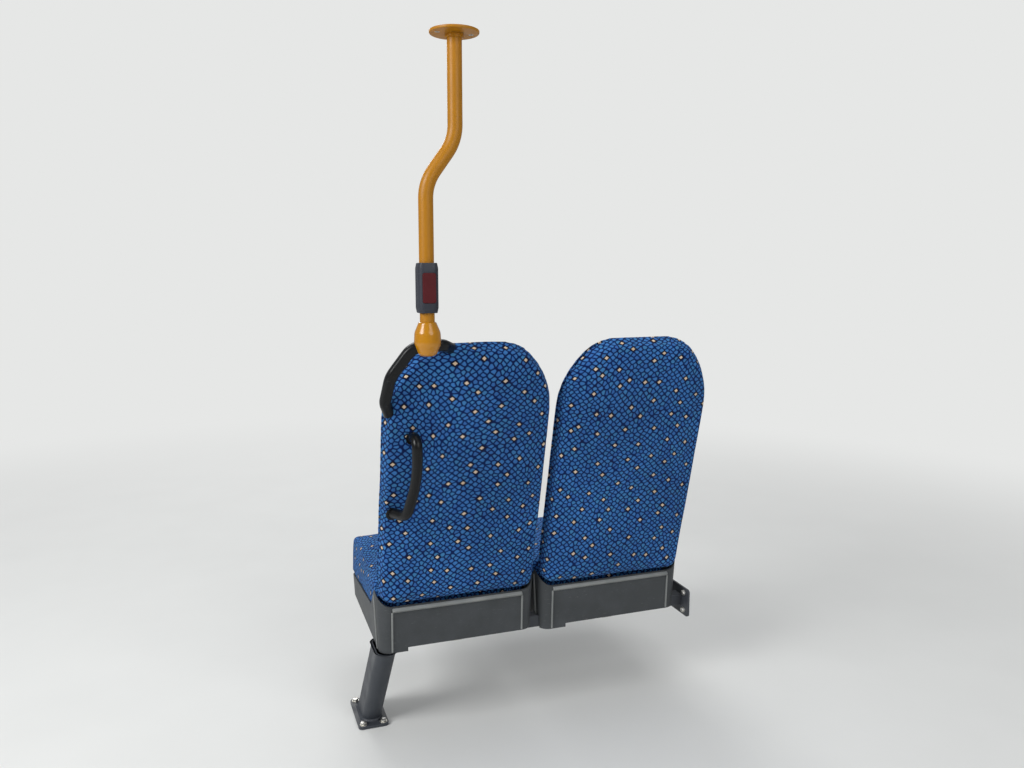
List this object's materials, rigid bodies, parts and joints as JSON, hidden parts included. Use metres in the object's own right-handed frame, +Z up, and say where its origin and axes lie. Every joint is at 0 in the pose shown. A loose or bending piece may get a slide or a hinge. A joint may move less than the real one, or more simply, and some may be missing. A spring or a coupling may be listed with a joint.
{
  "type": "double bus passenger seat with grab pole",
  "caption": "Twin high-back upholstered passenger seat on a pedestal and wall frame, with grab handles and a jogged grab pole up to the ceiling.",
  "frame": {"origin": "centre of the pedestal floor plate's four bolt holes, on its underside, at floor level", "axes": "+X from the aisle towards the side wall, +Y forward, the way a passenger faces, +Z up"},
  "size_m": [0.978, 0.742, 1.788],
  "materials": {
    "moquette": "woven moquette",
    "board": "plain board",
    "tray_plastic": "fine grain",
    "zinc_steel": "zinc plated",
    "cap_plastic": "matt",
    "frame_paint": "satin powder coat",
    "leg_paint": "satin powder coat",
    "pole_paint": "satin powder coat",
    "coupling_paint": "gloss",
    "housing_plastic": "fine grain",
    "button_plastic": "satin",
    "handle_plastic": "satin"
  },
  "bodies": {
    "root": {"back_cover_aisle": "moquette", "back_cover_window": "moquette", "back_pad_aisle": "moquette", "back_pad_window": "moquette", "base_board_aisle": "board", "base_board_window": "board", "beam_clamp_aisle_front": "zinc_steel", "beam_clamp_aisle_rear": "zinc_steel", "beam_clamp_window_front": "zinc_steel", "beam_clamp_window_rear": "zinc_steel", "button_housing_front": "housing_plastic", "button_housing_rear": "housing_plastic", "button_pad": "button_plastic", "ceiling_flange": "pole_paint", "cushion_aisle": "moquette", "cushion_window": "moquette", "floor_plate": "leg_paint", "front_beam": "frame_paint", "front_beam_cap": "cap_plastic", "pedestal_head": "leg_paint", "pedestal_leg": "leg_paint", "pole_coupling": "coupling_paint", "pole_tube": "pole_paint", "rear_beam": "frame_paint", "rear_beam_cap": "cap_plastic", "rear_handle": "handle_plastic", "top_handle": "handle_plastic", "tray_aisle": "tray_plastic", "tray_pan_aisle": "tray_plastic", "tray_pan_window": "tray_plastic", "tray_window": "tray_plastic", "wall_bracket": "frame_paint"}
  },
  "joints": []
}
